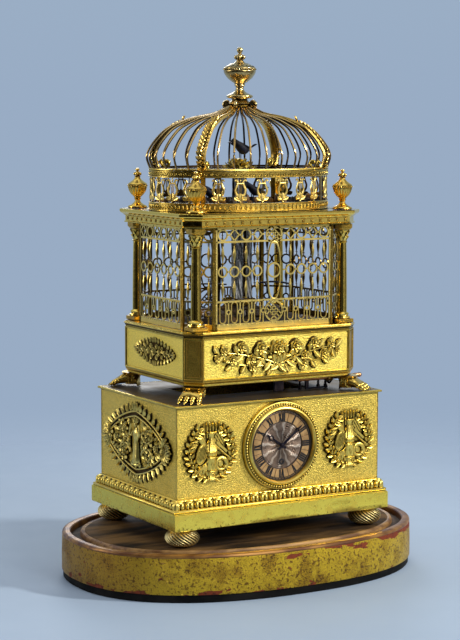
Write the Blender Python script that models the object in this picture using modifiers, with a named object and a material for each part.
# Singing bird automaton: a gilt bird cage with a dome and a glass-rod fountain, on a clock case and a stand.
# Metres, +Z up, the front faces -Y, the origin is the middle of the stand's underside.
import math
import random

import bpy
import bmesh
from mathutils import Vector
from mathutils.geometry import delaunay_2d_cdt

# General
GAP = 0.0003                 # clearance between pieces that touch
MERGE = 0.0001               # merge distance of turned pieces

# Stand: an oval giltwood plinth with a groove for a glass shade
STAND_HALF_X = 0.2106
STAND_HALF_Y = 0.1499
STAND_EXPONENT = 2.3         # 2 would be a plain ellipse
STAND_HEIGHT = 0.0535
STAND_BASE_HEIGHT = 0.0088   # the set-back black foot of the plinth
STAND_BASE_INSET = 0.0016
STAND_RIM_WIDTH = 0.0105
STAND_RIM_ROUND = 0.0035
GROOVE_WIDTH = 0.0100
GROOVE_DEPTH = 0.0060
STAND_SEGMENTS = 32

# Ball feet
FOOT_DIAMETER = 0.0390
FOOT_HEIGHT = 0.0200
FOOT_INSET = 0.0195          # foot centre from the plinth band's sides
FOOT_LOBES = 6
FOOT_TWIST = 50.0            # degrees that the gadroons turn from bottom to top

# Clock case
BAND_STEP_X = 0.0080         # how far the plinth band stands out from the case's ends
BAND_STEP_Y = 0.0106         # and from its front and back
BAND_HEIGHT = 0.0198
BAND_WALL = 0.0075
BAND_FLOOR = 0.0030
MOULDING_HEIGHT = 0.0136
MOULDING_REACH = 0.0072      # how far the leaf moulding stands out from the case
CASE_HALF_X = 0.1320
CASE_HALF_Y = 0.0914
CASE_HEIGHT = 0.1138
PANEL_THICKNESS = 0.0025
TOP_OVERHANG = 0.0030
TOP_THICKNESS = 0.0023

# Dial and hands
DIAL_RADIUS = 0.0399         # silvered face that shows inside the bezel
BEZEL_WIDTH = 0.0094
BEZEL_HEIGHT = 0.0085
BEZEL_LIP = 0.0020           # how far the bezel laps over the dial
DIAL_HEIGHT = 0.0026         # dial's face above the case's front
DIAL_THICKNESS = 0.0015
DIAL_SEGMENTS = 18
DIAL_CENTRE_RISE = 0.0065    # dial centre above the middle of the case front
MOVEMENT_HOLE_RADIUS = 0.0240
ARBOR_RADIUS = 0.0012
ARBOR_END = 0.0040           # arbor behind the movement's front plate
ARBOR_CAP = 0.0015           # arbor in front of the minute hand
HAND_THICKNESS = 0.0008
HAND_NECK = 0.0007           # half width of a hand's stem
HAND_HUB = 0.0030
HOUR_HAND_LENGTH = 0.0235
HOUR_EYE_RADIUS = 0.0029     # the hour hand's eye, and the hole in it
HOUR_EYE_HOLE = 0.0017
HOUR_EYE_PLACE = 0.66        # share of the hour hand's length
MINUTE_HAND_LENGTH = 0.0345
MINUTE_HAND_TAIL = 0.0080
WINDING_DROP = 0.0185        # winding square below the dial's centre
WINDING_RADIUS = 0.0022
RATCHET_THICKNESS = 0.0015
SHOWN_HOUR = 10
SHOWN_MINUTE = 8.5

# Cast mounts on the case
TROPHY_HALF_WIDTH = 0.0330
TROPHY_HALF_HEIGHT = 0.0350
TROPHY_THICKNESS = 0.0035
SIDE_MOUNT_HALF_WIDTH = 0.0800
SIDE_MOUNT_HALF_HEIGHT = 0.0440
SIDE_MOUNT_THICKNESS = 0.0030

# Works in the clock case
PLATE_HALF = 0.0340
PLATE_THICKNESS = 0.0020
PLATE_SPACE = 0.0300
PILLAR_RADIUS = 0.0022
BARREL_RADIUS = 0.0135
SONG_DECK_HALF_X = 0.0700
SONG_DECK_HALF_Y = 0.0330
SONG_DECK_THICKNESS = 0.0020
SONG_DECK_Y = 0.0450
SONG_AXIS_RISE = 0.0330
SONG_BARREL_RADIUS = 0.0190
SONG_CAM_RADIUS = 0.0150
SONG_CAMS = 2
SONG_CHEEK_THICKNESS = 0.0020
SONG_CHEEK_HALF_Y = 0.0120
SONG_CHEEK_ABOVE_AXIS = 0.0080
SONG_CHEEK_RIGHT_X = 0.0120
SONG_PIN_RADIUS = 0.0015
SONG_DECK_MARGIN = 0.0040
BELLOWS_BOARD_THICKNESS = 0.0020
BELLOWS_HALF_X = 0.0240
BELLOWS_HALF_Y = 0.0150
BELLOWS_HEIGHT = 0.0100

# Upper case with paws
PAW_HEIGHT = 0.0168
PAW_LENGTH = 0.0330
PAW_WIDTH = 0.0190
UPPER_SETBACK_X = 0.0201     # upper case behind the lower case's ends
UPPER_SETBACK_Y = 0.0060     # and behind its front and back
UPPER_CANT = 0.0160
UPPER_HEIGHT = 0.0606
UPPER_WALL = 0.0030
UPPER_FLANGE = 0.0500        # floor that is left round the opening in the underside
UPPER_FOOT_HEIGHT = 0.0068   # moulding round the bottom
UPPER_FOOT_REACH = 0.0014
UPPER_LEDGE_HEIGHT = 0.0055  # moulding round the top
UPPER_LEDGE_REACH = 0.0012
UPPER_CHAMFER = 0.0012
FLORAL_MARGIN = 0.0079       # from the branches' ends to the cut corners
FLORAL_HALF_HEIGHT = 0.0172
FLORAL_THICKNESS = 0.0030

# Start rod and its lever, between the two cases
ROD_RADIUS = 0.0025
ROD_SETBACK = 0.0254           # from the upper case's front face to the rod's axis
ROD_INNER_X = 0.0420
ROD_PROUD = 0.0171           # how far the rod stands out of the upper case's side
KNOB_LENGTH = 0.0045
ROD_EYE_INSET = 0.0300       # the eye under the upper case that guides the rod
ROD_EYE_LENGTH = 0.0060
ROD_EYE_HALF = 0.0045
ROD_TRAVEL = 0.0060
LEVER_ARM = 0.0200
LEVER_THICKNESS = 0.0020
LEVER_HALF_HEIGHT = 0.0020
LEVER_HUB_RADIUS = 0.0028

# Cage
CAGE_INSET = 0.0087          # cage planes behind the upper case's sides
CAGE_CANT = 0.0275
CAGE_HEIGHT = 0.1130
GRILLE_THICKNESS = 0.0012
GRILLE_STILE = 0.0022
GRILLE_BAR = 0.0016
GRILLE_WIRE = 0.0013
GRILLE_BOTTOM_RAIL = 0.0060
GRILLE_TOP_RAIL = 0.0022
TOP_ROW_RADIUS = 0.0060
MIDDLE_RADIUS = 0.0058
OVAL_HALF_WIDTH = 0.0048
BIG_CIRCLE_RADIUS = 0.0092
BIG_CIRCLE_CLEAR = 0.0010    # between the wide circle and the first column beside it
UPPER_BAR_RISE = 0.0972      # above the cage floor
MIDDLE_RISE = 0.0642
LOWER_BAR_RISE = 0.0312
FRONT_COLUMNS_EACH_SIDE = 4
SIDE_COLUMNS = 6
CANT_COLUMNS = 3
ROUND_SIDES = 6              # sides of the grilles' small circles and ovals
COLUMN_RADIUS = 0.0057
COLUMN_STANDOFF = 0.0085     # column centre from the narrow panel behind it
COLUMN_PLINTH_HALF = 0.0078
COLUMN_PLINTH_HEIGHT = 0.0050
COLUMN_BASE_HEIGHT = 0.0076  # the turned base on the plinth
COLUMN_CAPITAL = 0.0200
COLUMN_ABACUS = 0.0028
COLUMN_SEGMENTS = 8

# Entablature
CORNICE_REACH_X = 0.0059     # cornice beyond the upper case's ends
CORNICE_REACH_Y = 0.0043     # and beyond its front and back
CORNICE_CANT = 0.0190
ENTABLATURE_HEIGHT = 0.0157
FRIEZE_INSET = 0.0062
DECK_THICKNESS = 0.0045
CEILING_INSET = 0.0198       # the hollow's sides behind the cornice's edge

# Urns, gallery, dome and finial
URN_HEIGHT = 0.0455
URN_RADIUS = 0.0112
GALLERY_INSET_X = 0.0070     # gallery behind the cornice's ends
GALLERY_INSET_Y = 0.0145     # and behind its front and back
GALLERY_THICKNESS = 0.0022
GALLERY_LOWER_RING = 0.0098
GALLERY_LYRE_ZONE = 0.0272
GALLERY_UPPER_RING = 0.0080
LYRES_PER_QUARTER = 6
LYRE_PITCH = 14.0            # degrees between lyres
LYRE_HALF_WIDTH = 0.0068
POST_WIDTH = 0.0050
DOME_WIRES = 36              # places round the ring, four of which hold the broad ribs
WIRE_WIDTH = 0.0019
WIRE_THICKNESS = 0.0019
RIB_WIDTH = 0.0085
DOME_RING_HEIGHT = 0.0024
DOME_HEIGHT = 0.0700
FINIAL_RADIUS = 0.0184
FINIAL_HEIGHT = 0.0640

# Fountain and birds
ROD_GLASS_RADIUS = 0.0036
CENTRE_GLASS_RADIUS = 0.0048
OUTER_RODS = 3
OUTER_ROD_CIRCLE = 0.0112
BASIN_RADIUS = 0.0190
BASIN_HEIGHT = 0.0260
ROCK_HALF_X = 0.0700
ROCK_HALF_Y = 0.0480
ROD_TURNS = 2.5
STAND_COLUMN_RADIUS = 0.0090
STAND_COLUMN_HEIGHT = 0.0410
STAND_COLUMN_FOOT = 0.0060
MOUND_RADIUS = 0.0140
MOUND_HEIGHT = 0.0165
BIRD_LENGTH = 0.0230
BIRD_HEIGHT = 0.0150
BIRD_PEG_RADIUS = 0.0012
BIRD_GIRTH = 0.40            # widest radius as a share of the body's height
BIRD_LEAN = 0.9              # radians that the body's cross-sections lean forward
BIRD_SIDES = 6
TOP_BIRD_HEADING = 180.0     # degrees from the right, like the headings below
TOP_BIRD_LEG = 0.0045
TAIL_STEP = 0.0008           # from the body's end to the tail's pin
TAIL_THICKNESS = 0.0014
TAIL_SLOPE = 28.0
BEAK_LENGTH = 0.0050
BEAK_RADIUS = 0.0013
PIN_CLEARANCE = 0.0004       # from a pin's axis to the tail or beak on it
LOW_BIRD_LEG = 0.0120
LOW_BIRDS = (("bird_left", -0.0420, 0.0000, 200.0),      # place on the deck and heading
             ("bird_right", 0.0300, 0.0210, -20.0))

# Heights, each worked out from the one below it
BALL_BOTTOM = STAND_HEIGHT + GAP
BAND_BOTTOM = BALL_BOTTOM + FOOT_HEIGHT + GAP
BAND_TOP = BAND_BOTTOM + BAND_HEIGHT
CASE_BOTTOM = BAND_TOP + GAP
CASE_TOP = CASE_BOTTOM + CASE_HEIGHT
TOP_PLATE_BOTTOM = CASE_TOP + GAP
TOP_PLATE_TOP = TOP_PLATE_BOTTOM + TOP_THICKNESS
PAW_BOTTOM = TOP_PLATE_TOP + GAP
UPPER_BOTTOM = PAW_BOTTOM + PAW_HEIGHT + GAP
UPPER_TOP = UPPER_BOTTOM + UPPER_HEIGHT
CAGE_BOTTOM = UPPER_TOP + GAP
CAGE_TOP = CAGE_BOTTOM + CAGE_HEIGHT
ENTABLATURE_BOTTOM = CAGE_TOP + GAP
DECK_TOP = ENTABLATURE_BOTTOM + ENTABLATURE_HEIGHT
GALLERY_BOTTOM = DECK_TOP + GAP
GALLERY_HEIGHT = GALLERY_LOWER_RING + GALLERY_LYRE_ZONE + GALLERY_UPPER_RING
GALLERY_TOP = GALLERY_BOTTOM + GALLERY_HEIGHT
DOME_BOTTOM = GALLERY_TOP + GAP
DOME_TOP = DOME_BOTTOM + DOME_RING_HEIGHT + DOME_HEIGHT
FINIAL_BOTTOM = DOME_TOP + WIRE_THICKNESS / 2 + GAP

# Half sizes and places in plan, each worked out from the clock case
BAND_HALF_X = CASE_HALF_X + BAND_STEP_X
BAND_HALF_Y = CASE_HALF_Y + BAND_STEP_Y
TROPHY_X = (DIAL_RADIUS + BEZEL_WIDTH + CASE_HALF_X) / 2
UPPER_HALF_X = CASE_HALF_X - UPPER_SETBACK_X
UPPER_HALF_Y = CASE_HALF_Y - UPPER_SETBACK_Y
FLORAL_HALF_WIDTH = UPPER_HALF_X - UPPER_CANT - FLORAL_MARGIN
ROD_OUTER_X = UPPER_HALF_X + ROD_PROUD
ROD_Y = ROD_SETBACK - UPPER_HALF_Y
CORNICE_HALF_X = UPPER_HALF_X + CORNICE_REACH_X
CORNICE_HALF_Y = UPPER_HALF_Y + CORNICE_REACH_Y
GALLERY_HALF_X = CORNICE_HALF_X - GALLERY_INSET_X
GALLERY_HALF_Y = CORNICE_HALF_Y - GALLERY_INSET_Y
CAGE_HALF_X = UPPER_HALF_X - CAGE_INSET
CAGE_HALF_Y = UPPER_HALF_Y - CAGE_INSET
COLUMN_X = CAGE_HALF_X - CAGE_CANT / 2 + COLUMN_STANDOFF * math.sqrt(0.5)
COLUMN_Y = CAGE_HALF_Y - CAGE_CANT / 2 + COLUMN_STANDOFF * math.sqrt(0.5)
DIAL_Z = (CASE_BOTTOM + CASE_TOP) / 2 + DIAL_CENTRE_RISE
FRONT_FACE_Y = -CASE_HALF_Y
ROD_Z = UPPER_BOTTOM - ROD_RADIUS - 3 * GAP
INNER_FLOOR = BAND_BOTTOM + BAND_FLOOR + GAP


def new_collection(name):
    collection = bpy.data.collections.get(name)
    if collection is None:
        collection = bpy.data.collections.new(name)
        bpy.context.scene.collection.children.link(collection)
    return collection


def new_material(name, colour, metallic, roughness, transmission=0.0):
    material = bpy.data.materials.get(name) or bpy.data.materials.new(name)
    material.use_nodes = True
    shader = material.node_tree.nodes["Principled BSDF"]
    shader.inputs["Base Color"].default_value = (*colour, 1.0)
    shader.inputs["Metallic"].default_value = metallic
    shader.inputs["Roughness"].default_value = roughness
    shader.inputs["Transmission Weight"].default_value = transmission
    material.diffuse_color = (*colour, 1.0)
    return material


for old in list(bpy.data.objects):
    bpy.data.objects.remove(old, do_unlink=True)

PARTS = new_collection("singing_bird_automaton")
CUTTERS = new_collection("cutters")
GILT = new_material("gilt_bronze", (0.83, 0.60, 0.20), 1.0, 0.28)
MATT_GILT = new_material("matt_gilt", (0.78, 0.58, 0.22), 1.0, 0.50)
OLD_BRASS = new_material("old_brass", (0.55, 0.38, 0.14), 1.0, 0.40)
GILT_WOOD = new_material("gilt_wood", (0.42, 0.29, 0.10), 0.4, 0.55)
SILVERED = new_material("silvered_brass", (0.72, 0.68, 0.62), 1.0, 0.40)
BLUED_STEEL = new_material("blued_steel", (0.03, 0.03, 0.04), 1.0, 0.30)
GLASS = new_material("clear_glass", (0.85, 0.90, 0.92), 0.0, 0.05, 0.9)
ROCK = new_material("painted_rock", (0.13, 0.09, 0.05), 0.0, 0.80)
FEATHER = new_material("dark_feather", (0.03, 0.03, 0.04), 0.0, 0.70)


# Shape helpers

def place(obj, material, location=(0.0, 0.0, 0.0), rotation=(0.0, 0.0, 0.0), cutter=False):
    obj.data.materials.append(material)
    obj.location = location
    obj.rotation_euler = rotation
    if cutter:
        CUTTERS.objects.link(obj)
        obj.hide_render = True
        obj.display_type = "WIRE"
    else:
        PARTS.objects.link(obj)
    return obj


def mesh_object(name, bm, material, smooth=False, **where):
    bmesh.ops.recalc_face_normals(bm, faces=bm.faces)
    mesh = bpy.data.meshes.new(name)
    bm.to_mesh(mesh)
    bm.free()
    if smooth:
        mesh.shade_smooth()
        mesh.set_sharp_from_angle(angle=math.radians(35))
    return place(bpy.data.objects.new(name, mesh), material, **where)


def box(name, low, high, material, **where):
    bm = bmesh.new()
    bmesh.ops.create_cube(bm, size=1.0)
    size = [b - a for a, b in zip(low, high)]
    middle = [(a + b) / 2 for a, b in zip(low, high)]
    bmesh.ops.scale(bm, vec=size, verts=bm.verts)
    bmesh.ops.translate(bm, vec=middle, verts=bm.verts)
    return mesh_object(name, bm, material, **where)


def rod(name, radius, length, material, segments=10, **where):
    # A cylinder that starts at its own origin and runs along its own +Z.
    bm = bmesh.new()
    bmesh.ops.create_cone(bm, cap_ends=True, segments=segments, radius1=radius, radius2=radius, depth=length)
    bmesh.ops.translate(bm, vec=(0, 0, length / 2), verts=bm.verts)
    return mesh_object(name, bm, material, smooth=True, **where)


def turned(name, profile, material, segments, closed=False, **where):
    # The profile lists (radius, height) down the outer side, from the top to the bottom.
    mesh = bpy.data.meshes.new(name)
    links = [(i, i + 1) for i in range(len(profile) - 1)]
    if closed:
        links.append((len(profile) - 1, 0))
    mesh.from_pydata([(radius, 0.0, height) for radius, height in profile], links, [])
    obj = place(bpy.data.objects.new(name, mesh), material, **where)
    screw = obj.modifiers.new("turn", "SCREW")
    screw.axis = "Z"
    screw.steps = segments
    screw.render_steps = segments
    screw.use_merge_vertices = True
    screw.merge_threshold = MERGE
    screw.use_smooth_shade = True
    return obj


def loft(name, sections, material, smooth=False, **where):
    # Joins closed sections of equal count, given anticlockwise from above, and caps both ends.
    bm = bmesh.new()
    rings = [[bm.verts.new(point) for point in section] for section in sections]
    count = len(rings[0])
    for low, high in zip(rings, rings[1:]):
        for i in range(count):
            j = (i + 1) % count
            bm.faces.new((low[i], low[j], high[j], high[i]))
    bm.faces.new(list(reversed(rings[0])))
    bm.faces.new(rings[-1])
    return mesh_object(name, bm, material, smooth=smooth, **where)


def join_with(target, tool, operation="UNION"):
    modifier = target.modifiers.new(tool.name, "BOOLEAN")
    modifier.operation = operation
    modifier.solver = "EXACT"
    modifier.object = tool


def flat_plate(name, outlines, thickness, material, **where):
    # Outlines are lists of (x, y); those that lie inside another are holes.
    curve = bpy.data.curves.new(name, "CURVE")
    curve.dimensions = "2D"
    curve.fill_mode = "BOTH"
    curve.extrude = thickness / 2
    for points in outlines:
        spline = curve.splines.new("POLY")
        spline.points.add(len(points) - 1)
        for point, (x, y) in zip(spline.points, points):
            point.co = (x, y, 0.0, 1.0)
        spline.use_cyclic_u = True
    return place(bpy.data.objects.new(name, curve), material, **where)


def circle(radius, count, centre=(0.0, 0.0), half_y=None, turn=0.0):
    half_y = radius if half_y is None else half_y
    angles = [turn + 2 * math.pi * i / count for i in range(count)]
    return [(centre[0] + radius * math.cos(a), centre[1] + half_y * math.sin(a)) for a in angles]


def rectangle(x0, y0, x1, y1):
    return [(x0, y0), (x1, y0), (x1, y1), (x0, y1)]


def canted(half_x, half_y, cut, offset):
    # A rectangle with its corners cut at 45 degrees, with every side moved outwards by the offset.
    # Far inside, the cuts close up to small ones.
    half_x += offset
    half_y += offset
    cut = max(cut + offset * (2 - math.sqrt(2)), 0.001)
    return [(half_x, cut - half_y), (half_x, half_y - cut), (half_x - cut, half_y), (cut - half_x, half_y),
            (-half_x, half_y - cut), (-half_x, cut - half_y), (cut - half_x, -half_y), (half_x - cut, -half_y)]


def oval(half_x, half_y, exponent, count):
    points = []
    for i in range(count):
        angle = 2 * math.pi * i / count
        c, s = math.cos(angle), math.sin(angle)
        points.append((math.copysign(half_x * abs(c) ** (2 / exponent), c),
                       math.copysign(half_y * abs(s) ** (2 / exponent), s)))
    return points


def raised(points, height):
    return [(x, y, height) for x, y in points]


def inside(point, outline):
    x, y = point
    hit = False
    for (x0, y0), (x1, y1) in zip(outline, outline[1:] + outline[:1]):
        if (y0 > y) != (y1 > y) and x < x0 + (y - y0) * (x1 - x0) / (y1 - y0):
            hit = not hit
    return hit


def sheet_mesh(pieces, bend=None):
    # Unites overlapping flat pieces, each an outline with an optional hole, into one open sheet.
    scale = 1000.0
    corners, edges = [], []
    for outline, hole in pieces:
        for loop in (outline, hole):
            if loop:
                first = len(corners)
                corners += [Vector((x * scale, y * scale)) for x, y in loop]
                edges += [(first + i, first + (i + 1) % len(loop)) for i in range(len(loop))]
    found, _, triangles, _, _, _ = delaunay_2d_cdt(corners, edges, [], 0, 1e-4)
    bm = bmesh.new()
    verts = [bm.verts.new((p.x / scale, p.y / scale, 0.0)) for p in found]
    for triangle in triangles:
        middle = sum((found[i] for i in triangle), Vector((0.0, 0.0))) / (3 * scale)
        if any(inside(middle, outline) and not (hole and inside(middle, hole)) for outline, hole in pieces):
            bm.faces.new([verts[i] for i in triangle])
    bmesh.ops.delete(bm, geom=[v for v in bm.verts if not v.link_faces], context="VERTS")
    if bend:
        for vert in bm.verts:
            vert.co = bend(vert.co.x, vert.co.y)
        bmesh.ops.remove_doubles(bm, verts=bm.verts, dist=MERGE / 10)
    bmesh.ops.dissolve_limit(bm, angle_limit=math.radians(0.5), verts=bm.verts, edges=bm.edges)
    return bm


def pierced(name, pieces, thickness, material, bend=None, **where):
    # The sheet's own plane becomes the middle of the plate.
    bm = sheet_mesh(pieces, bend)
    mesh = bpy.data.meshes.new(name)
    bmesh.ops.recalc_face_normals(bm, faces=bm.faces)
    bm.to_mesh(mesh)
    bm.free()
    obj = place(bpy.data.objects.new(name, mesh), material, **where)
    solid = obj.modifiers.new("thickness", "SOLIDIFY")
    solid.thickness = thickness
    solid.offset = 0.0
    return obj


def corners():
    # Names and signs of the four corners, seen from above.
    return (("front_left", -1, -1), ("front_right", 1, -1), ("back_left", -1, 1), ("back_right", 1, 1))


# Stand

def make_stand():
    def outline(offset):
        return oval(STAND_HALF_X + offset, STAND_HALF_Y + offset, STAND_EXPONENT, STAND_SEGMENTS)

    groove = -STAND_RIM_WIDTH
    platform = groove - GROOVE_WIDTH
    steps = [(0.0, -STAND_BASE_INSET), (STAND_BASE_HEIGHT, -STAND_BASE_INSET), (STAND_BASE_HEIGHT, 0.0),
             (STAND_HEIGHT - STAND_RIM_ROUND, 0.0), (STAND_HEIGHT, -STAND_RIM_ROUND),
             (STAND_HEIGHT, groove), (STAND_HEIGHT - GROOVE_DEPTH, groove),
             (STAND_HEIGHT - GROOVE_DEPTH, platform), (STAND_HEIGHT, platform)]
    loft("stand_plinth", [raised(outline(offset), z) for z, offset in steps], GILT_WOOD)


def make_ball_feet():
    levels = [(-0.5, 0.36), (-0.36, 0.80), (0.0, 1.03), (0.36, 0.80), (0.5, 0.36)]
    sections = []
    for level, width in levels:
        points = []
        for i in range(2 * FOOT_LOBES):
            angle = math.pi * i / FOOT_LOBES + math.radians(FOOT_TWIST) * level
            radius = FOOT_DIAMETER / 2 * width * (1.0 if i % 2 else 0.93)
            points.append((radius * math.cos(angle), radius * math.sin(angle), level * FOOT_HEIGHT))
        sections.append(points)
    for name, sx, sy in corners():
        x, y = sx * (BAND_HALF_X - FOOT_INSET), sy * (BAND_HALF_Y - FOOT_INSET)
        loft("ball_foot_" + name, sections, GILT, smooth=True, location=(x, y, BALL_BOTTOM + FOOT_HEIGHT / 2))


# Clock case

def make_plinth_band():
    def outline(offset):
        x, y = BAND_HALF_X + offset, BAND_HALF_Y + offset
        return rectangle(-x, -y, x, y)

    floor = BAND_BOTTOM + BAND_FLOOR
    steps = [(BAND_BOTTOM, 0.0), (BAND_TOP, 0.0), (BAND_TOP, -BAND_WALL), (floor, -BAND_WALL)]
    loft("plinth_band", [raised(outline(offset), z) for z, offset in steps], GILT)


def make_leaf_moulding():
    # A hollow cove with a bead under it, run round the case and mitred at the corners.
    def outline(offset):
        x, y = CASE_HALF_X + offset, CASE_HALF_Y + offset
        return rectangle(-x, -y, x, y)

    bottom, top = CASE_BOTTOM, CASE_BOTTOM + MOULDING_HEIGHT
    reach = MOULDING_REACH
    steps = [(bottom, GAP), (bottom, reach), (bottom + 0.30 * MOULDING_HEIGHT, reach * 0.98),
             (bottom + 0.62 * MOULDING_HEIGHT, reach * 0.78), (bottom + 0.85 * MOULDING_HEIGHT, reach * 0.42),
             (top, reach * 0.24), (top, GAP)]
    bm = bmesh.new()
    rings = [[bm.verts.new(point) for point in raised(outline(offset), z)] for z, offset in steps]
    for low, high in zip(rings, rings[1:] + rings[:1]):
        for i in range(4):
            j = (i + 1) % 4
            bm.faces.new((low[i], low[j], high[j], high[i]))
    mesh_object("leaf_moulding", bm, GILT)


def make_case():
    half = CASE_HEIGHT / 2
    middle = CASE_BOTTOM + half
    opening = circle(MOVEMENT_HOLE_RADIUS, 20, (0.0, DIAL_Z - middle))
    flat_plate("case_front", [rectangle(-CASE_HALF_X, -half, CASE_HALF_X, half), opening], PANEL_THICKNESS,
               MATT_GILT, location=(0, PANEL_THICKNESS / 2 - CASE_HALF_Y, middle), rotation=(math.pi / 2, 0, 0))
    box("case_back", (-CASE_HALF_X, CASE_HALF_Y - PANEL_THICKNESS, CASE_BOTTOM),
        (CASE_HALF_X, CASE_HALF_Y, CASE_TOP), MATT_GILT)
    side_y = CASE_HALF_Y - PANEL_THICKNESS - GAP
    for name, sign in (("case_left", -1), ("case_right", 1)):
        outer, inner = sign * CASE_HALF_X, sign * (CASE_HALF_X - PANEL_THICKNESS)
        box(name, (min(outer, inner), -side_y, CASE_BOTTOM), (max(outer, inner), side_y, CASE_TOP), MATT_GILT)
    x, y = CASE_HALF_X + TOP_OVERHANG, CASE_HALF_Y + TOP_OVERHANG
    bevel = TOP_THICKNESS / 3
    steps = [(TOP_PLATE_BOTTOM, 0.0), (TOP_PLATE_TOP - bevel, 0.0), (TOP_PLATE_TOP, -bevel)]
    loft("case_top", [raised(rectangle(-x - o, -y - o, x + o, y + o), z) for z, o in steps], GILT)


# Dial, bezel and hands: their own +Z points forward, out of the dial

def on_front(x, z, height):
    return {"location": (x, FRONT_FACE_Y - height, z), "rotation": (math.pi / 2, 0, 0)}


def make_dial():
    outer = DIAL_RADIUS + BEZEL_WIDTH
    seat = DIAL_RADIUS + BEZEL_LIP
    profile = [(DIAL_RADIUS + BEZEL_LIP * 0.6, BEZEL_HEIGHT * 0.62),
               (DIAL_RADIUS + 0.35 * BEZEL_WIDTH, BEZEL_HEIGHT),
               (DIAL_RADIUS + 0.60 * BEZEL_WIDTH, BEZEL_HEIGHT * 0.92),
               (outer, BEZEL_HEIGHT * 0.45), (outer, GAP),
               (seat, GAP), (seat, DIAL_HEIGHT + GAP), (DIAL_RADIUS, DIAL_HEIGHT + GAP)]
    turned("dial_bezel", profile, GILT, DIAL_SEGMENTS, closed=True, **on_front(0, DIAL_Z, 0))
    face = circle((seat - GAP) * math.cos(math.pi / DIAL_SEGMENTS), DIAL_SEGMENTS)
    centre_hole = circle(ARBOR_RADIUS + GAP, 8)
    winding_hole = circle(WINDING_RADIUS + GAP, 10, (0, -WINDING_DROP))
    flat_plate("dial_plate", [face, centre_hole, winding_hole], DIAL_THICKNESS, SILVERED,
               **on_front(0, DIAL_Z, DIAL_HEIGHT - DIAL_THICKNESS / 2))


def hand_outline(length, tail, ring):
    # Runs up from the hub to the point; the ring is the round eye near the point of the hour hand.
    neck, hub = HAND_NECK, HAND_HUB
    points = [(neck, hub * 0.8)]
    if ring:
        eye = length * HOUR_EYE_PLACE
        points += [(neck, eye - ring), (ring, eye - ring * 0.3), (ring, eye + ring * 0.3), (neck, eye + ring)]
    else:
        points += [(neck * 1.5, length * 0.55), (neck * 2.0, length * 0.70)]
    points += [(0.0, length)]
    points += [(-x, y) for x, y in reversed(points[:-1])]
    points += [(-hub, 0.0), (-neck, -tail), (neck, -tail), (hub, 0.0)]
    return points


def make_hands():
    hour_height = DIAL_HEIGHT + 2 * GAP + HAND_THICKNESS / 2
    minute_height = hour_height + HAND_THICKNESS + 2 * GAP
    minute_turn = 2 * math.pi * SHOWN_MINUTE / 60
    hour_turn = 2 * math.pi * (SHOWN_HOUR + SHOWN_MINUTE / 60) / 12
    eye = circle(HOUR_EYE_HOLE, 8, (0.0, HOUR_HAND_LENGTH * HOUR_EYE_PLACE))
    outline = hand_outline(HOUR_HAND_LENGTH, HAND_HUB, HOUR_EYE_RADIUS)
    flat_plate("hour_hand", [outline, circle(ARBOR_RADIUS + GAP, 8), eye],
               HAND_THICKNESS, BLUED_STEEL, location=(0, FRONT_FACE_Y - hour_height, DIAL_Z),
               rotation=(math.pi / 2, hour_turn, 0))
    # The minute hand and its arbor, which ends in the movement's front plate.
    outline = hand_outline(MINUTE_HAND_LENGTH, MINUTE_HAND_TAIL, 0.0)
    half = HAND_THICKNESS / 2
    hand = loft("minute_hand", [raised(outline, -half), raised(outline, half)], BLUED_STEEL,
                location=(0, FRONT_FACE_Y - minute_height, DIAL_Z), rotation=(math.pi / 2, minute_turn, 0))
    reach = minute_height + PANEL_THICKNESS + GAP + PLATE_THICKNESS + ARBOR_END
    arbor = rod("minute_arbor", ARBOR_RADIUS, reach + ARBOR_CAP, BLUED_STEEL, 8,
                location=(0, FRONT_FACE_Y + reach - minute_height, DIAL_Z), rotation=(math.pi / 2, 0, 0),
                cutter=True)
    join_with(hand, arbor)
    # The winding arbor shows as a square in its hole and carries the barrel's ratchet inside.
    square = WINDING_RADIUS * 0.62
    back = FRONT_FACE_Y + PANEL_THICKNESS + PLATE_THICKNESS + PLATE_SPACE
    winding = box("winding_arbor", (-square, -square, 0),
                  (square, square, back - FRONT_FACE_Y + DIAL_HEIGHT * 0.4),
                  BLUED_STEEL, location=(0, back, DIAL_Z - WINDING_DROP), rotation=(math.pi / 2, 0, 0))
    behind = FRONT_FACE_Y + PANEL_THICKNESS + 3 * GAP + PLATE_THICKNESS
    ratchet = rod("ratchet_wheel", BARREL_RADIUS * 0.6, RATCHET_THICKNESS, BLUED_STEEL, 12, cutter=True,
                  location=(0, behind + RATCHET_THICKNESS * 1.2, DIAL_Z - WINDING_DROP),
                  rotation=(math.pi / 2, 0, 0))
    join_with(winding, ratchet)


# Cast mounts

def lobe(centre, length, width, angle):
    # A pointed leaf from its foot at the centre, as a four-sided outline.
    direction = Vector((math.cos(angle), math.sin(angle)))
    side = Vector((-direction.y, direction.x))
    foot = Vector(centre)
    shape = [(-0.1, 0.0), (0.45, 0.5), (1.0, 0.0), (0.45, -0.5)]
    return [tuple(foot + direction * (length * a) - side * (width * b)) for a, b in shape]


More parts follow.
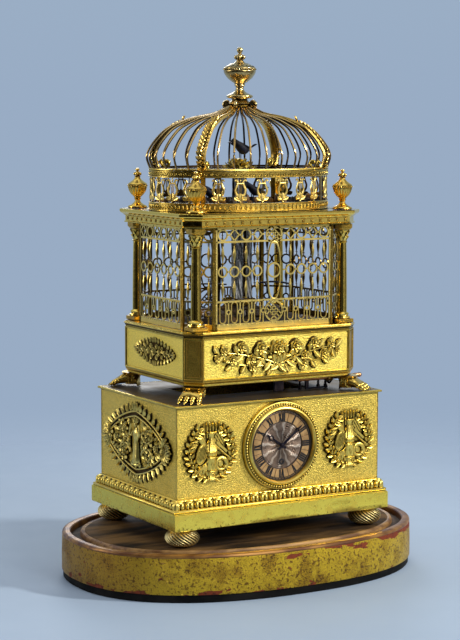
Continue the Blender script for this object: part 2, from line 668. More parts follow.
def trophy_pieces():
    # A laurel wreath round a shield, with two crossed staves behind and a ribbon above.
    w, h = TROPHY_HALF_WIDTH, TROPHY_HALF_HEIGHT
    leaves = 6
    pieces = [(circle(w * 0.86, 10, half_y=h * 0.84), circle(w * 0.72, 8, half_y=h * 0.70))]
    for i in range(leaves):
        angle = 2 * math.pi * (i + 0.5) / leaves
        foot = (w * 0.78 * math.cos(angle), h * 0.76 * math.sin(angle))
        pieces.append((lobe(foot, w * 0.26, w * 0.16, angle + 0.5), None))
    pieces.append((circle(w * 0.34, 8, (0, -h * 0.12), half_y=h * 0.40), None))
    for sign in (-1, 1):
        foot = Vector((-sign * w * 0.56, -h * 0.56))
        tip = Vector((sign * w * 0.46, h * 0.92))
        side = Vector((tip.y - foot.y, foot.x - tip.x)).normalized() * w * 0.055
        staff = [tuple(foot - side), tuple(foot + side), tuple(tip + side * 1.8), tuple(tip - side * 1.8)]
        pieces.append((staff, None))
    return pieces


def side_mount_pieces():
    # Two nested pointed ovals of leaves, with a niche for the small figure between scrolled branches.
    w, h = SIDE_MOUNT_HALF_WIDTH, SIDE_MOUNT_HALF_HEIGHT

    def pointed(scale, count):
        points = []
        for i in range(count):
            angle = 2 * math.pi * i / count
            c = math.cos(angle)
            points.append((scale * w * math.copysign(abs(c) ** 0.85, c),
                           scale * h * math.sin(angle) * (1 - 0.10 * c * c)))
        return points

    pieces = [(pointed(0.93, 10), pointed(0.80, 8))]
    for i in range(6):
        angle = 2 * math.pi * (i + 0.5) / 6
        foot = (w * 0.84 * math.cos(angle), h * 0.82 * math.sin(angle))
        pieces.append((lobe(foot, h * 0.24, h * 0.17, angle), None))
    for sign in (-1, 1):
        pieces.append((circle(h * 0.34, 6, (sign * w * 0.42, 0)), circle(h * 0.20, 4, (sign * w * 0.42, 0))))
    pieces.append((rectangle(-w * 0.88, -h * 0.06, w * 0.88, h * 0.06), None))
    pieces.append((circle(h * 0.20, 4, (0, -h * 0.02), half_y=h * 0.86), None))
    return pieces


def floral_pieces():
    # Two long leafy branches with roses, tied at the middle.
    w, h = FLORAL_HALF_WIDTH, FLORAL_HALF_HEIGHT
    pieces = [(circle(h * 0.42, 8), None)]
    for sign in (-1, 1):
        stem = []
        for i in range(5):
            x = w * (0.02 + 0.90 * i / 4)
            stem.append((x, h * 0.30 * math.sin(math.pi * i / 2)))
        width = h * 0.10
        upper = [(sign * x, y + width) for x, y in stem]
        lower = [(sign * x, y - width) for x, y in stem]
        outline = upper + list(reversed(lower))
        pieces.append((outline if sign < 0 else list(reversed(outline)), None))
        for i in range(1, 5):
            x, y = stem[i]
            side = 1 if i % 2 else -1
            foot = (sign * x, y)
            angle = math.radians(65) * side
            outward = angle if sign > 0 else math.pi - angle
            pieces.append((lobe(foot, h * 0.95, h * 0.42, outward), None))
            if i in (1, 3):
                opposite = -angle if sign > 0 else math.pi + angle
                pieces.append((lobe(foot, h * 0.75, h * 0.36, opposite), None))
            else:
                pieces.append((circle(h * 0.40, 6, (sign * x, y + side * h * 0.30)), None))
    return pieces


def make_mounts():
    flat = TROPHY_THICKNESS / 2 + GAP
    for name, sign in (("trophy_left", -1), ("trophy_right", 1)):
        pierced(name, trophy_pieces(), TROPHY_THICKNESS, GILT, **on_front(sign * TROPHY_X, DIAL_Z, flat))
    out = CASE_HALF_X + GAP + SIDE_MOUNT_THICKNESS / 2
    for name, sign in (("side_mount_left", -1), ("side_mount_right", 1)):
        pierced(name, side_mount_pieces(), SIDE_MOUNT_THICKNESS, GILT,
                location=(sign * out, 0, DIAL_Z), rotation=(math.pi / 2, 0, sign * math.pi / 2))
    out = UPPER_HALF_Y + GAP + FLORAL_THICKNESS / 2
    pierced("floral_mount", floral_pieces(), FLORAL_THICKNESS, GILT,
            location=(0, -out, UPPER_BOTTOM + UPPER_HEIGHT / 2), rotation=(math.pi / 2, 0, 0))


# Works in the clock case

def make_movement():
    front = FRONT_FACE_Y + PANEL_THICKNESS + GAP
    back = front + PLATE_THICKNESS + PLATE_SPACE
    low, high = DIAL_Z - PLATE_HALF, DIAL_Z + PLATE_HALF

    def plate(name, y, cutter):
        return box(name, (-PLATE_HALF, y, low), (PLATE_HALF, y + PLATE_THICKNESS, high), OLD_BRASS,
                   cutter=cutter)

    frame = plate("movement_frame", front, False)
    join_with(frame, plate("movement_back_plate", back, True))
    reach = PLATE_SPACE + PLATE_THICKNESS
    for name, sx, sz in corners():
        x, z = sx * PLATE_HALF * 0.86, DIAL_Z + sz * PLATE_HALF * 0.86
        pillar = rod("pillar_" + name, PILLAR_RADIUS, reach, OLD_BRASS, 6, cutter=True,
                     location=(x, front + PLATE_THICKNESS / 2, z), rotation=(-math.pi / 2, 0, 0))
        join_with(frame, pillar)
    for name, radius, z in (("centre_bore", ARBOR_RADIUS, DIAL_Z),
                            ("winding_bore", WINDING_RADIUS * 0.9, DIAL_Z - WINDING_DROP)):
        bore = rod(name, radius + GAP, PLATE_THICKNESS * 3, OLD_BRASS, 8, cutter=True,
                   location=(0, front - PLATE_THICKNESS, z), rotation=(-math.pi / 2, 0, 0))
        join_with(frame, bore, "DIFFERENCE")
    # The going barrel is planted on the back plate, round the winding arbor.
    deep = PLATE_SPACE * 0.55
    rim = PLATE_THICKNESS * 0.6
    barrel = [(BARREL_RADIUS, deep), (BARREL_RADIUS, rim), (BARREL_RADIUS * 1.1, rim),
              (BARREL_RADIUS * 1.1, 0.0), (WINDING_RADIUS, 0.0), (WINDING_RADIUS, deep)]
    drum = turned("going_barrel", barrel, OLD_BRASS, 10, closed=True, rotation=(-math.pi / 2, 0, 0),
                  location=(0, back - deep + PLATE_THICKNESS / 2, DIAL_Z - WINDING_DROP), cutter=True)
    join_with(frame, drum)


def make_song_works():
    # A deck with two cheeks that carry the barrel with its cams, and the bellows' fixed box.
    floor = INNER_FLOOR
    deck_top = floor + SONG_DECK_THICKNESS
    axis_z = deck_top + SONG_AXIS_RISE
    y0, y1 = SONG_DECK_Y - SONG_DECK_HALF_Y, SONG_DECK_Y + SONG_DECK_HALF_Y
    frame = box("song_frame", (-SONG_DECK_HALF_X, y0, floor), (SONG_DECK_HALF_X, y1, deck_top), OLD_BRASS)
    cheek, pin = SONG_CHEEK_THICKNESS, SONG_PIN_RADIUS
    left, right = SONG_DECK_MARGIN - SONG_DECK_HALF_X, SONG_CHEEK_RIGHT_X
    for name, x in (("song_cheek_left", left), ("song_cheek_right", right)):
        part = box(name, (x, SONG_DECK_Y - SONG_CHEEK_HALF_Y, floor + SONG_DECK_THICKNESS / 2),
                   (x + cheek, SONG_DECK_Y + SONG_CHEEK_HALF_Y, axis_z + SONG_CHEEK_ABOVE_AXIS), OLD_BRASS,
                   cutter=True)
        join_with(frame, part)
    over = 2 * cheek
    bore = rod("song_bore", pin + GAP, right - left + 2 * over, OLD_BRASS, 10, cutter=True,
               location=(left - over, SONG_DECK_Y, axis_z), rotation=(0, math.pi / 2, 0))
    join_with(frame, bore, "DIFFERENCE")
    bellows_x = SONG_DECK_HALF_X - BELLOWS_HALF_X - SONG_DECK_MARGIN
    box_top = deck_top + BELLOWS_HEIGHT
    low = (bellows_x - BELLOWS_HALF_X, SONG_DECK_Y - BELLOWS_HALF_Y, floor + SONG_DECK_THICKNESS / 2)
    well = box("bellows_box", low,
               (bellows_x + BELLOWS_HALF_X, SONG_DECK_Y + BELLOWS_HALF_Y, box_top), OLD_BRASS,
               cutter=True)
    join_with(frame, well)
    box("bellows_board", (0, -BELLOWS_HALF_Y, 0), (2 * BELLOWS_HALF_X, BELLOWS_HALF_Y, BELLOWS_BOARD_THICKNESS),
        OLD_BRASS, location=(bellows_x - BELLOWS_HALF_X, SONG_DECK_Y, box_top + GAP))
    # Barrel and cams on one arbor along X.
    start, end = left + cheek + GAP, right - GAP
    length = end - start
    drum = length * 0.45
    cam = (length - drum) / (2 * SONG_CAMS)
    profile = [(0.0, length + cheek), (pin, length + cheek), (pin, length)]
    height = length
    for i in range(SONG_CAMS):
        radius = SONG_CAM_RADIUS * (0.8 + 0.2 * (i % 2))
        profile += [(radius, height), (radius, height - cam),
                    (pin * 2.5, height - cam), (pin * 2.5, height - 2 * cam)]
        height -= 2 * cam
    profile += [(SONG_BARREL_RADIUS, drum), (SONG_BARREL_RADIUS, 0.0), (pin, 0.0), (pin, -cheek), (0.0, -cheek)]
    turned("song_barrel", profile, OLD_BRASS, 8,
           location=(start, SONG_DECK_Y, axis_z), rotation=(0, math.pi / 2, 0))


# Upper case, its paws and the start rod

def make_upper_case():
    def outline(offset):
        return canted(UPPER_HALF_X, UPPER_HALF_Y, UPPER_CANT, offset)

    floor = UPPER_BOTTOM + UPPER_WALL
    foot, ledge = UPPER_BOTTOM + UPPER_FOOT_HEIGHT, UPPER_TOP - UPPER_LEDGE_HEIGHT
    chamfer = UPPER_CHAMFER
    steps = [(UPPER_TOP - UPPER_WALL, -UPPER_WALL), (floor, -UPPER_WALL), (floor, -UPPER_FLANGE),
             (UPPER_BOTTOM, -UPPER_FLANGE), (UPPER_BOTTOM, UPPER_FOOT_REACH - chamfer),
             (UPPER_BOTTOM + chamfer, UPPER_FOOT_REACH), (foot - chamfer, UPPER_FOOT_REACH), (foot, 0.0),
             (ledge, 0.0), (ledge + chamfer, UPPER_LEDGE_REACH), (UPPER_TOP - chamfer, UPPER_LEDGE_REACH),
             (UPPER_TOP, UPPER_LEDGE_REACH - chamfer)]
    case = loft("upper_case", [raised(outline(offset), z) for z, offset in steps], MATT_GILT)
    # An eye under the case guides the start rod.
    eye_x = UPPER_HALF_X - ROD_EYE_INSET
    eye = box("rod_eye", (eye_x, ROD_Y - ROD_EYE_HALF, ROD_Z - ROD_EYE_HALF),
              (eye_x + ROD_EYE_LENGTH, ROD_Y + ROD_EYE_HALF, floor - UPPER_WALL / 3), GILT, cutter=True)
    join_with(case, eye)
    bore = rod("rod_eye_bore", ROD_RADIUS + GAP, 2 * ROD_EYE_LENGTH, GILT, 10, cutter=True,
               location=(eye_x - ROD_EYE_LENGTH / 2, ROD_Y, ROD_Z), rotation=(0, math.pi / 2, 0))
    join_with(case, bore, "DIFFERENCE")


def make_paws():
    # Three toes spread forward under an ankle that flares up to the case.
    levels = [(0.00, 0.88, 0.10), (0.26, 1.00, 0.14), (0.48, 0.86, 0.08), (0.74, 0.56, 0.0), (1.00, 0.78, 0.0)]
    count = 12
    sections = []
    for level, width, toes in levels:
        points = []
        forward = PAW_LENGTH * 0.26 * max(0.0, 1.0 - 1.5 * level)
        for i in range(count):
            angle = 2 * math.pi * i / count
            front = max(0.0, math.cos(angle))
            swell = 1.0 + toes * front * math.cos(count / 2 * angle)
            stretch = 1.0 + (PAW_LENGTH / PAW_WIDTH - 1.0) * front * max(0.0, 1.0 - level)
            points.append((forward + PAW_WIDTH / 2 * width * stretch * swell * math.cos(angle),
                           PAW_WIDTH / 2 * width * swell * math.sin(angle), level * PAW_HEIGHT))
        sections.append(points)
    inset = PAW_WIDTH * 0.36
    x = UPPER_HALF_X - UPPER_CANT / 2 - inset * math.sqrt(0.5)
    y = UPPER_HALF_Y - UPPER_CANT / 2 - inset * math.sqrt(0.5)
    for name, sx, sy in corners():
        loft("paw_" + name, sections, GILT, smooth=True, location=(sx * x, sy * y, PAW_BOTTOM),
             rotation=(0, 0, math.atan2(sy, sx)))


def make_start_rod():
    length = ROD_OUTER_X - ROD_INNER_X
    knob = ROD_RADIUS * 1.7
    profile = [(0.0, length), (knob * 0.7, length), (knob, length - KNOB_LENGTH * 0.27),
               (knob, length - KNOB_LENGTH * 0.78), (ROD_RADIUS, length - KNOB_LENGTH),
               (ROD_RADIUS, 0.0), (0.0, 0.0)]
    turned("start_rod", profile, OLD_BRASS, 10,
           location=(ROD_INNER_X, ROD_Y, ROD_Z), rotation=(0, math.pi / 2, 0))
    # The lever turns on a pin that hangs from the upper case, and the rod's end pushes its tail.
    pivot_x = ROD_INNER_X - LEVER_THICKNESS / 2 - GAP
    pivot_y = ROD_Y + LEVER_ARM
    half, tall = LEVER_THICKNESS / 2, LEVER_HALF_HEIGHT
    lever = box("trip_lever", (-half, -LEVER_ARM - ROD_RADIUS, -tall), (half, LEVER_ARM, tall), BLUED_STEEL,
                location=(pivot_x, pivot_y, ROD_Z))
    hub = rod("lever_hub", LEVER_HUB_RADIUS, UPPER_BOTTOM - GAP - ROD_Z + tall, BLUED_STEEL, 10, cutter=True,
              location=(pivot_x, pivot_y, ROD_Z - tall))
    join_with(lever, hub)


# Cage

def ring(x, y, radius, count, wire, half_y=None, turn=0.0):
    tall = None if half_y is None else half_y - wire
    return circle(radius, count, (x, y), half_y, turn), circle(radius - wire, count, (x, y), tall, turn)


def flat_topped(half, count):
    # A polygon of 6 or 10 sides has flats above and below: this half height puts them at the given one.
    return half / math.cos(math.pi / count)


def grille_column(x, top_row, width_limit, foot="oval", knot="ring"):
    # One upright: circle, diamond or baluster on top, then a baluster, a ring or knob, a baluster and the foot.
    top = CAGE_HEIGHT - GRILLE_TOP_RAIL
    wire, lap = GRILLE_WIRE, GRILLE_WIRE * 0.35
    top_middle = (UPPER_BAR_RISE + GRILLE_BAR / 2 + top) / 2
    top_half = (top - UPPER_BAR_RISE - GRILLE_BAR / 2) / 2 + lap
    across = min(TOP_ROW_RADIUS, width_limit)
    middle = min(MIDDLE_RADIUS, width_limit)
    high_end = UPPER_BAR_RISE
    sides = ROUND_SIDES if foot == "oval" else 4
    outline, hole = ring(x, MIDDLE_RISE, middle, sides, wire, turn=math.pi / 2)
    pieces = [(outline, hole if knot == "ring" else None)]
    if top_row == "diamond":
        pieces.append(ring(x, top_middle, across, 4, wire, top_half))
    elif top_row == "circle":
        pieces.append(ring(x, top_middle, across, ROUND_SIDES, wire, flat_topped(top_half, ROUND_SIDES)))
    else:
        high_end = top + lap
    oval_low, oval_high = GRILLE_BOTTOM_RAIL - lap, LOWER_BAR_RISE - GRILLE_BAR / 2 + lap
    oval_half = flat_topped((oval_high - oval_low) / 2, ROUND_SIDES)
    low_end = LOWER_BAR_RISE
    if foot == "oval":
        across = min(OVAL_HALF_WIDTH, width_limit)
        pieces.append(ring(x, (oval_low + oval_high) / 2, across, ROUND_SIDES, wire, oval_half))
    else:
        low_end = oval_low
    half = wire * 0.5
    for low, high in ((low_end, MIDDLE_RISE - middle + wire * 0.7),
                      (MIDDLE_RISE + middle - wire * 0.7, high_end)):
        pieces.append((rectangle(x - half, low, x + half, high), None))
    return pieces


def grille_frame(half_width, bottom_rail=GRILLE_BOTTOM_RAIL):
    stile = GRILLE_STILE
    outline = rectangle(-half_width, 0, half_width, CAGE_HEIGHT)
    opening = rectangle(-half_width + stile, bottom_rail, half_width - stile, CAGE_HEIGHT - GRILLE_TOP_RAIL)
    pieces = [(outline, opening)]
    for rise in (UPPER_BAR_RISE, LOWER_BAR_RISE):
        pieces.append((rectangle(-half_width + stile / 2, rise - GRILLE_BAR / 2,
                                 half_width - stile / 2, rise + GRILLE_BAR / 2), None))
    return pieces


def front_grille_pieces():
    half_width = CAGE_HALF_X - CAGE_CANT
    pieces = grille_frame(half_width)
    lap = GRILLE_WIRE * 0.35
    top = CAGE_HEIGHT - GRILLE_TOP_RAIL
    top_half = (top - UPPER_BAR_RISE - GRILLE_BAR / 2) / 2 + lap
    top_middle = (UPPER_BAR_RISE + GRILLE_BAR / 2 + top) / 2
    big = BIG_CIRCLE_RADIUS
    clear = BIG_CIRCLE_CLEAR
    pitch = (half_width - GRILLE_STILE - big - clear) / FRONT_COLUMNS_EACH_SIDE
    for sign in (-1, 1):
        for i in range(FRONT_COLUMNS_EACH_SIDE):
            x = sign * (big + clear + pitch * (i + 0.5))
            pieces += grille_column(x, "circle" if i % 2 else "diamond", pitch / 2 + lap)
    # The middle of the panel: a wide circle above and below, and a round within a long loop.
    pieces.append(ring(0, top_middle, big + lap, 10, GRILLE_WIRE * 1.1, flat_topped(top_half, 10)))
    low_middle = (GRILLE_BOTTOM_RAIL + LOWER_BAR_RISE) / 2
    low_half = (LOWER_BAR_RISE - GRILLE_BOTTOM_RAIL) / 2 + lap
    pieces.append(ring(0, low_middle, big + lap, 10, GRILLE_WIRE * 1.3, flat_topped(low_half, 10)))
    loop_half = (UPPER_BAR_RISE - LOWER_BAR_RISE - GRILLE_BAR) / 2 + lap
    pieces.append(ring(0, (UPPER_BAR_RISE + LOWER_BAR_RISE) / 2, big * 0.82, 10, GRILLE_WIRE,
                       flat_topped(loop_half, 10)))
    pieces.append(ring(0, MIDDLE_RISE, big * 0.82, 8, GRILLE_WIRE))
    for sign in (-1, 1):
        reach = big + clear + pitch / 2 - min(MIDDLE_RADIUS, pitch / 2) * math.cos(math.pi / ROUND_SIDES) + lap
        pieces.append((rectangle(min(sign * reach, sign * big * 0.75), MIDDLE_RISE - GRILLE_WIRE / 2,
                                 max(sign * reach, sign * big * 0.75), MIDDLE_RISE + GRILLE_WIRE / 2), None))
    return pieces


def even_columns(half_width, count, knot):
    # The plainer pattern of the side and back panels.
    pitch = 2 * (half_width - GRILLE_STILE) / count
    pieces = []
    for i in range(count):
        x = pitch * (i + 0.5 - count / 2)
        pieces += grille_column(x, "baluster", pitch / 2 - GRILLE_WIRE * 0.35, "baluster", knot)
    return pieces


def side_grille_pieces():
    half_width = CAGE_HALF_Y - CAGE_CANT
    return grille_frame(half_width) + even_columns(half_width, SIDE_COLUMNS, "ring")


def cant_grille_pieces(half_width):
    # The narrow panels behind the columns keep plain balusters and the two bars.
    pieces = grille_frame(half_width)
    pitch = 2 * (half_width - GRILLE_STILE) / CANT_COLUMNS
    half = GRILLE_WIRE * 0.45
    for i in range(CANT_COLUMNS):
        x = pitch * (i + 0.5 - CANT_COLUMNS / 2)
        upright = rectangle(x - half, GRILLE_BOTTOM_RAIL / 2, x + half, CAGE_HEIGHT - GRILLE_TOP_RAIL / 2)
        pieces.append((upright, None))
    return pieces


def make_cage():
    upright = (math.pi / 2, 0, 0)
    half_width = CAGE_HALF_X - CAGE_CANT
    plainer = grille_frame(half_width) + even_columns(half_width, 2 * FRONT_COLUMNS_EACH_SIDE + 1, "knob")
    for name, sign, pieces in (("front_grille", -1, front_grille_pieces()), ("back_grille", 1, plainer)):
        pierced(name, pieces, GRILLE_THICKNESS, GILT,
                location=(0, sign * (CAGE_HALF_Y - GRILLE_THICKNESS / 2), CAGE_BOTTOM), rotation=upright)
    # Each side panel is soldered to the two narrow panels that cut its corners.
    side = CAGE_HALF_Y - CAGE_CANT
    slant = CAGE_CANT * math.sqrt(2)
    inner = GRILLE_THICKNESS * 1.3 + GAP
    length = slant - inner
    for name, sign in (("left_grille", -1), ("right_grille", 1)):
        def bend(u, v, sign=sign):
            depth = CAGE_HALF_X - GRILLE_THICKNESS / 2
            over = max(0.0, abs(u) - side)
            return Vector((sign * (depth - over * math.sqrt(0.5)),
                           math.copysign(min(abs(u), side) + over * math.sqrt(0.5), u), v))

        pieces = side_grille_pieces()
        for end in (-1, 1):
            middle = end * (side + length / 2)
            for outline, hole in cant_grille_pieces(length / 2):
                pieces.append(([(x + middle, y) for x, y in outline],
                               [(x + middle, y) for x, y in hole] if hole else None))
        pierced(name, pieces, GRILLE_THICKNESS, GILT, bend=bend, location=(0, 0, CAGE_BOTTOM))


def make_columns():
    height = CAGE_HEIGHT - GAP
    plinth, abacus = COLUMN_PLINTH_HEIGHT, COLUMN_ABACUS
    base, capital = COLUMN_BASE_HEIGHT, COLUMN_CAPITAL
    r = COLUMN_RADIUS
    top = height - abacus
    profile = [(0.0, top + abacus / 2), (r * 1.30, top + abacus / 2), (r * 1.14, top - capital * 0.35),
               (r * 0.94, top - capital * 0.90), (r * 1.06, top - capital), (r * 0.92, top - capital * 1.08),
               (r, plinth + base), (r * 1.32, plinth + base * 0.40), (r * 1.32, plinth / 2), (0.0, plinth / 2)]
    half = COLUMN_PLINTH_HALF
    for name, sx, sy in corners():
        where = {"location": (sx * COLUMN_X, sy * COLUMN_Y, CAGE_BOTTOM),
                 "rotation": (0, 0, math.atan2(sy, sx))}
        shaft = turned("column_" + name, profile, GILT, COLUMN_SEGMENTS, **where)
        for part, low, high, reach in (("plinth", 0.0, plinth, half), ("abacus", top, height, half * 1.05)):
            inner = min(reach, COLUMN_STANDOFF - GRILLE_THICKNESS / 2 - GAP)
            block = box(part + "_" + name, (-inner, -reach, low), (reach, reach, high), GILT,
                        cutter=True, **where)
            join_with(shaft, block)


def make_entablature():
    def outline(offset):
        return canted(CORNICE_HALF_X, CORNICE_HALF_Y, CORNICE_CANT, offset)

    bottom, top = ENTABLATURE_BOTTOM, DECK_TOP
    height = ENTABLATURE_HEIGHT
    frieze = -FRIEZE_INSET
    fillet = height * 0.05
    steps = [(top - DECK_THICKNESS, -CEILING_INSET), (bottom, -CEILING_INSET), (bottom, frieze),
             (bottom + height * 0.30, frieze), (bottom + height * 0.33, frieze + fillet),
             (bottom + height * 0.58, frieze + fillet), (bottom + height * 0.66, frieze + 3 * fillet),
             (bottom + height * 0.80, -fillet), (bottom + height * 0.84, 0.0), (top - fillet, 0.0), (top, -fillet)]
    loft("entablature", [raised(outline(offset), z) for z, offset in steps], GILT)


# Urns, gallery, dome and finial

def make_urns():
    r, h = URN_RADIUS, URN_HEIGHT
    profile = [(0.0, h), (r * 0.26, h * 0.94), (r * 0.14, h * 0.89), (r * 0.50, h * 0.84), (r * 0.20, h * 0.765),
               (r, h * 0.60), (r * 0.80, h * 0.40), (r * 0.28, h * 0.22), (r * 0.64, 0.0), (0.0, 0.0)]
    for name, sx, sy in corners():
        turned("urn_" + name, profile, GILT, 8, location=(sx * COLUMN_X, sy * COLUMN_Y, DECK_TOP + GAP))


def quarter_angles():
    # Directions of the lyres, in quarters centred on the front, right, back and left.
    angles = []
    for quarter in range(4):
        for i in range(LYRES_PER_QUARTER):
            angles.append(quarter * 90.0 + LYRE_PITCH * (i - (LYRES_PER_QUARTER - 1) / 2))
    return angles


def ellipse_point(half_x, half_y, degrees):
    return half_x * math.cos(math.radians(degrees)), half_y * math.sin(math.radians(degrees))


def make_gallery():
    # The flat pattern runs in degrees round the ring, and is then bent to the ellipse.
    half_x, half_y = GALLERY_HALF_X - GALLERY_THICKNESS / 2, GALLERY_HALF_Y - GALLERY_THICKNESS / 2
    scale = 0.001            # one degree is a millimetre along the flat pattern
    low, high = GALLERY_LOWER_RING, GALLERY_LOWER_RING + GALLERY_LYRE_ZONE
    posts = [45.0 + 90.0 * i for i in range(4)]
    # The pattern is cut open between two lyres, where its ends meet again.
    stations = [0.0] + sorted(a % 360.0 for a in quarter_angles() + posts) + [360.0]

    def bend(u, v):
        x, y = ellipse_point(half_x, half_y, u / scale)
        return Vector((x, y, v))

    def degrees_for(width, angle):
        a = math.radians(angle)
        speed = math.hypot(half_x * math.sin(a), half_y * math.cos(a)) * math.pi / 180
        return width / speed * scale

    pieces = []
    for start, end in zip(stations, stations[1:]):
        for z0, z1 in ((0.0, low), (high, GALLERY_HEIGHT)):
            pieces.append((rectangle(start * scale, z0, end * scale, z1), None))
    for angle in quarter_angles():
        angle = angle % 360.0
        w = degrees_for(LYRE_HALF_WIDTH, angle)
        x = angle * scale
        z = GALLERY_LYRE_ZONE
        outline = [(x - w * 0.40, low), (x + w * 0.40, low), (x + w, low + z * 0.42),
                   (x + w * 0.45, high), (x - w * 0.45, high), (x - w, low + z * 0.42)]
        hole = [(x, low + z * 0.16), (x + w * 0.62, low + z * 0.44),
                (x, high - z * 0.08), (x - w * 0.62, low + z * 0.44)]
        pieces.append((outline, hole))
    for angle in posts:
        w = degrees_for(POST_WIDTH / 2, angle)
        pieces.append((rectangle(angle * scale - w, low, angle * scale + w, high), None))
    pierced("gallery", pieces, GALLERY_THICKNESS, GILT, bend=bend, location=(0, 0, GALLERY_BOTTOM))


def dome_profile():
    # (share of the ring's size, share of the dome's height): an onion that swells over the ring, then sweeps in.
    return [(1.000, 0.00), (1.034, 0.17), (0.930, 0.46), (0.660, 0.73), (0.290, 0.86), (0.120, 1.00)]


def make_dome():
    # Upright strips stand on a base ring; the whole sheet gets its thickness from one Solidify.
    half_x, half_y = GALLERY_HALF_X - WIRE_THICKNESS, GALLERY_HALF_Y - WIRE_THICKNESS
    levels = [(1.0, 0.0)] + [(s, DOME_RING_HEIGHT + h * DOME_HEIGHT) for s, h in dome_profile()]
    step = 360.0 / DOME_WIRES
    bm = bmesh.new()
    strips = []
    for i in range(DOME_WIRES):
        degrees = step * (i + 0.5)
        angle = math.radians(degrees)
        along = Vector((-half_x * math.sin(angle), half_y * math.cos(angle), 0.0))
        room = along.length * math.radians(step)
        along.normalize()
        broad = min(abs((degrees - 45.0) % 90.0), abs((45.0 - degrees) % 90.0)) < step / 4
        strip = []
        for size, height in levels:
            centre = Vector((half_x * size * math.cos(angle), half_y * size * math.sin(angle), height))
            width = min(RIB_WIDTH * (0.55 + 0.45 * size) if broad else WIRE_WIDTH, room * size * 0.62)
            strip.append((bm.verts.new(centre - along * width / 2), bm.verts.new(centre + along * width / 2)))
        for (a, b), (c, d) in zip(strip, strip[1:]):
            bm.faces.new((a, b, d, c))
        strips.append(strip)
    for strip, following in zip(strips, strips[1:] + strips[:1]):
        bm.faces.new((strip[0][1], following[0][0], following[1][0], strip[1][1]))
    obj = mesh_object("dome_cage", bm, GILT, location=(0, 0, DOME_BOTTOM))
    solid = obj.modifiers.new("thickness", "SOLIDIFY")
    solid.thickness = WIRE_THICKNESS
    solid.offset = 0.0


def make_finial():
    r, h = FINIAL_RADIUS, FINIAL_HEIGHT
    profile = [(0.0, h), (r * 0.17, h * 0.965), (r * 0.17, h * 0.925), (r * 0.10, h * 0.885),
               (r * 0.33, h * 0.825), (r * 0.13, h * 0.765), (r * 0.46, h * 0.715), (r, h * 0.635),
               (r, h * 0.575), (r * 0.70, h * 0.43),
               (r * 0.32, h * 0.365), (r * 0.24, h * 0.32), (r * 0.46, h * 0.215), (r * 0.80, h * 0.15),
               (r * 0.56, h * 0.08), (r * 0.60, 0.0), (0.0, 0.0)]
    turned("dome_finial", profile, GILT, 8, location=(0, 0, FINIAL_BOTTOM))


# Fountain and birds

def make_fountain():
    # Rockwork rises unevenly from the cage floor to a round basin that bears the glass rods.
    rng = random.Random(7)
    count = 16
    levels = [(1.0, 0.0), (0.97, 0.16), (0.74, 0.40), (0.46, 0.52)]
    sections = []
    for share, rise in levels:
        points = []
        for x, y in circle(ROCK_HALF_X * share, count, half_y=ROCK_HALF_Y * share):
            wobble = 1.0 if rise == 0.0 else rng.uniform(0.90, 1.03)
            lift = 0.0 if rise == 0.0 else rng.uniform(-0.06, 0.06)
            points.append((x * wobble, y * wobble, (rise + lift) * BASIN_HEIGHT))
        sections.append(points)
    for share, rise in ((0.62, 0.60), (0.55, 0.78), (0.95, 0.96), (1.0, 1.0)):
        sections.append(raised(circle(BASIN_RADIUS * share, count), rise * BASIN_HEIGHT))
    loft("fountain_base", sections, ROCK, location=(0, 0, CAGE_BOTTOM))
    bottom = CAGE_BOTTOM + BASIN_HEIGHT + GAP
    top = DECK_TOP - DECK_THICKNESS - GAP
    length = top - bottom

    def glass_rod(name, radius, x, y):
        # A square bar twisted evenly between two slim pivots.
        pivot = radius * 0.4
        turns, steps = ROD_TURNS * math.pi * 2, 8
        rings = [raised(circle(pivot, 4), 0.0), raised(circle(pivot, 4), length * 0.02)]
        for i in range(steps + 1):
            share = i / steps
            rings.append(raised(circle(radius, 4, turn=turns * share), length * (0.03 + 0.94 * share)))
        rings += [raised(circle(pivot, 4, turn=turns), length * share) for share in (0.98, 1.0)]
        loft(name, rings, GLASS, location=(x, y, bottom))

    glass_rod("glass_rod_centre", CENTRE_GLASS_RADIUS, 0.0, 0.0)
    for i in range(OUTER_RODS):
        x, y = ellipse_point(OUTER_ROD_CIRCLE, OUTER_ROD_CIRCLE, 210.0 + 360.0 * i / OUTER_RODS)
        glass_rod("glass_rod_%d" % (i + 1), ROD_GLASS_RADIUS, x, y)


def make_bird_stand():
    r, h = STAND_COLUMN_RADIUS, STAND_COLUMN_HEIGHT
    m = MOUND_RADIUS
    foot = STAND_COLUMN_FOOT
    profile = [(0.0, h + MOUND_HEIGHT), (m * 0.45, h + MOUND_HEIGHT * 0.97), (m * 0.80, h + MOUND_HEIGHT * 0.60),
               (m, h + MOUND_HEIGHT * 0.20), (m * 0.9, h), (r, h - foot / 6), (r, foot), (r * 1.5, foot * 0.67),
               (r * 1.6, 0.0), (0.0, 0.0)]
    turned("bird_stand", profile, GILT, 10, location=(0, 0, DECK_TOP + GAP))


def bird_outline():
    # Widths of the body from the tail end to the crown of the head, along a line that climbs forward.
    return [(-0.50, 0.00, 0.10), (-0.30, 0.06, 0.62), (-0.02, 0.16, 0.98), (0.20, 0.34, 0.86), (0.32, 0.56, 0.56),
            (0.42, 0.78, 0.62), (0.46, 0.95, 0.40), (0.44, 1.05, 0.10)]


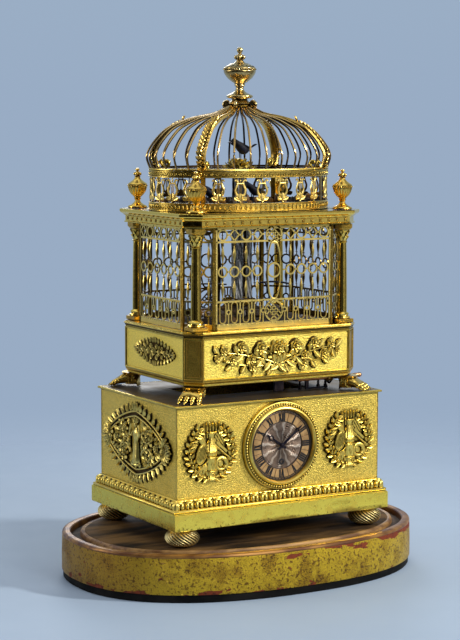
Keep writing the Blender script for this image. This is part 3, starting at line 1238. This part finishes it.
def bird_body(name, place_at, heading, leg, tail=True):
    # The body leans forward on one leg peg, which is its turning axis.
    length, height = BIRD_LENGTH, BIRD_HEIGHT
    sections = []
    for x, z, width in bird_outline():
        radius = width * height * BIRD_GIRTH
        points = []
        for i in range(BIRD_SIDES):
            angle = 2 * math.pi * i / BIRD_SIDES
            across = radius * 0.85 * math.sin(angle)
            up = radius * math.cos(angle)
            points.append((x * length - up * math.sin(BIRD_LEAN), across,
                           leg + (0.25 + 0.62 * z) * height + up * math.cos(BIRD_LEAN)))
        sections.append(points)
    where = {"location": place_at, "rotation": (0, 0, math.radians(heading))}
    body = loft(name, sections, FEATHER, smooth=True, **where)
    peg = rod(name + "_peg", BIRD_PEG_RADIUS, leg + height * 0.35, OLD_BRASS, 8, cutter=True, **where)
    join_with(body, peg)
    if tail:
        fan = box(name + "_tail", (-0.95 * length, -0.10 * length, leg + 0.20 * height),
                  (-0.38 * length, 0.10 * length, leg + 0.30 * height), FEATHER, cutter=True, **where)
        join_with(body, fan)


def make_birds():
    deck = DECK_TOP + GAP
    top = deck + STAND_COLUMN_HEIGHT + MOUND_HEIGHT + GAP
    bird_body("bird_top", (0, 0, top), TOP_BIRD_HEADING, TOP_BIRD_LEG, tail=False)
    # Tail and beak turn on pins at the body's ends; the body heads along its own +X.
    turn = math.radians(TOP_BIRD_HEADING)
    rear, face = bird_outline()[0], bird_outline()[-3]
    tail_x, tail_z = rear[0] * BIRD_LENGTH - TAIL_STEP, TOP_BIRD_LEG + 0.25 * BIRD_HEIGHT
    half_y, half_z = 0.10 * BIRD_LENGTH, TAIL_THICKNESS / 2
    box("bird_tail", (-0.52 * BIRD_LENGTH, -half_y, -half_z), (-PIN_CLEARANCE, half_y, half_z), FEATHER,
        location=(tail_x * math.cos(turn), tail_x * math.sin(turn), top + tail_z),
        rotation=(0, math.radians(TAIL_SLOPE), turn))
    front = face[0] * BIRD_LENGTH + face[2] * BIRD_GIRTH * BIRD_HEIGHT * math.sin(BIRD_LEAN)
    beak_x, beak_z = front - PIN_CLEARANCE + GAP, TOP_BIRD_LEG + 0.80 * BIRD_HEIGHT
    bm = bmesh.new()
    bmesh.ops.create_cone(bm, cap_ends=True, segments=6, radius1=BEAK_RADIUS, radius2=BEAK_RADIUS * 0.15,
                          depth=BEAK_LENGTH)
    bmesh.ops.translate(bm, vec=(0, 0, BEAK_LENGTH / 2 + PIN_CLEARANCE), verts=bm.verts)
    mesh_object("bird_beak", bm, BLUED_STEEL, rotation=(0, math.radians(90), turn),
                location=(beak_x * math.cos(turn), beak_x * math.sin(turn), top + beak_z))
    for name, x, y, heading in LOW_BIRDS:
        bird_body(name, (x, y, deck), heading, LOW_BIRD_LEG)


make_stand()
make_ball_feet()
make_plinth_band()
make_leaf_moulding()
make_case()
make_dial()
make_hands()
make_mounts()
make_movement()
make_song_works()
make_upper_case()
make_paws()
make_start_rod()
make_cage()
make_columns()
make_entablature()
make_urns()
make_gallery()
make_dome()
make_finial()
make_fountain()
make_bird_stand()
make_birds()
